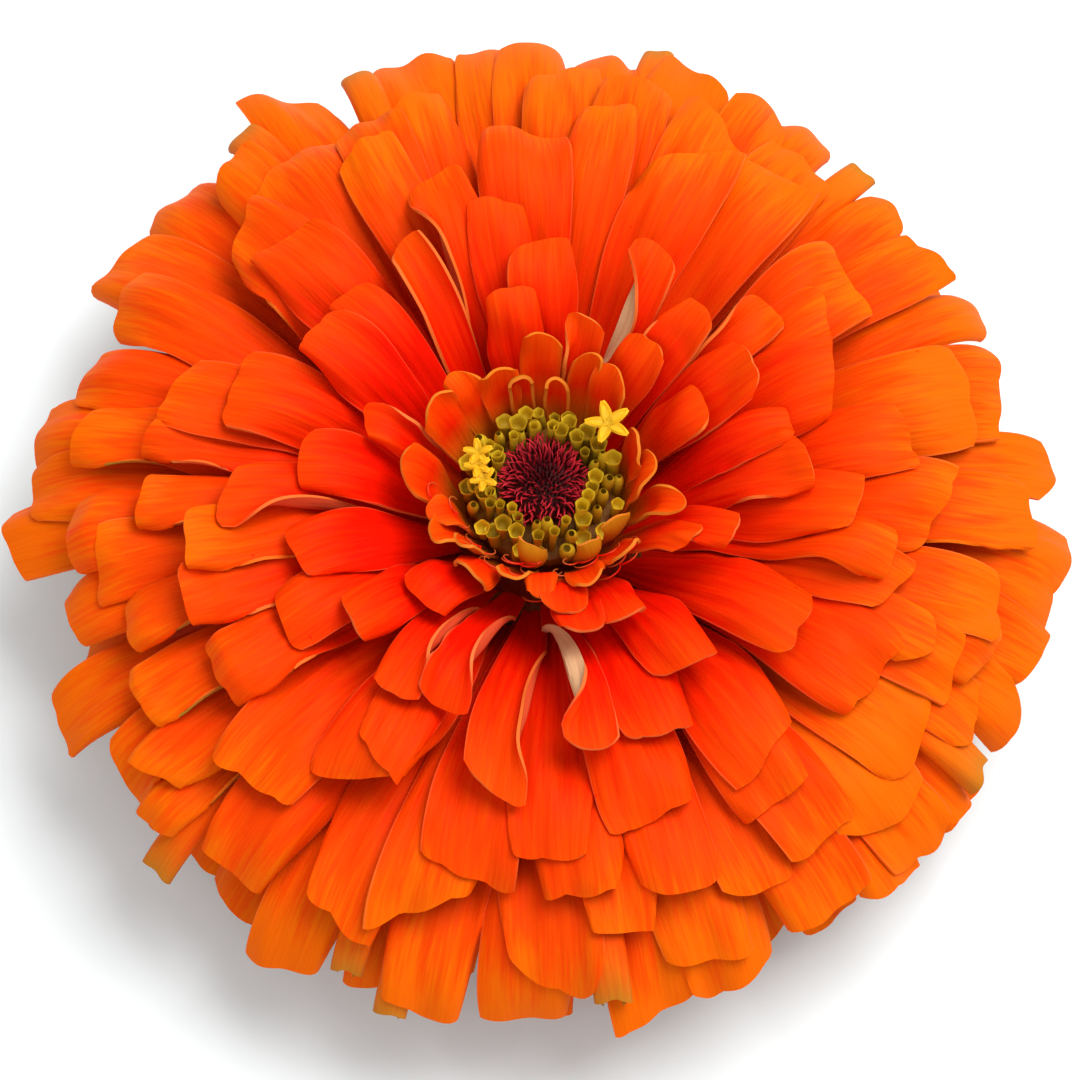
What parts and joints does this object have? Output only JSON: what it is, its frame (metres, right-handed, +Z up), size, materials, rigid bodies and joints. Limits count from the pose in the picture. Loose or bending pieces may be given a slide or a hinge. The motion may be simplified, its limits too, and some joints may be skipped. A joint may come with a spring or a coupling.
{
  "type": "zinnia flower",
  "caption": "Fully double orange zinnia head lying face up, with layered ray petals, an open crimson and yellow heart, a green cup of bracts and a short cut stem.",
  "frame": {"origin": "on the surface that the flower lies on, under the centre of its bounding box", "axes": "+Z up out of the open face of the flower, -Y towards the viewer in the picture, +X to the viewer's right"},
  "size_m": [0.1004, 0.1001, 0.029],
  "materials": {
    "ray_orange": "velvety satin petal, red-orange near the heart and yellow-orange at the rim",
    "floret_yellow": "fine matt floret tissue, yellow-green to gold",
    "disc_crimson": "matt and bristly, darker in the middle",
    "bract_green": "matt leaf green with a thin dark margin",
    "stem_green": "matt green, finely ribbed, with a pale cut end"
  },
  "bodies": {
    "root": {"ray_florets": "ray_orange", "young_florets": "floret_yellow", "disc": "disc_crimson", "involucre": "bract_green", "stem": "stem_green"}
  },
  "joints": []
}
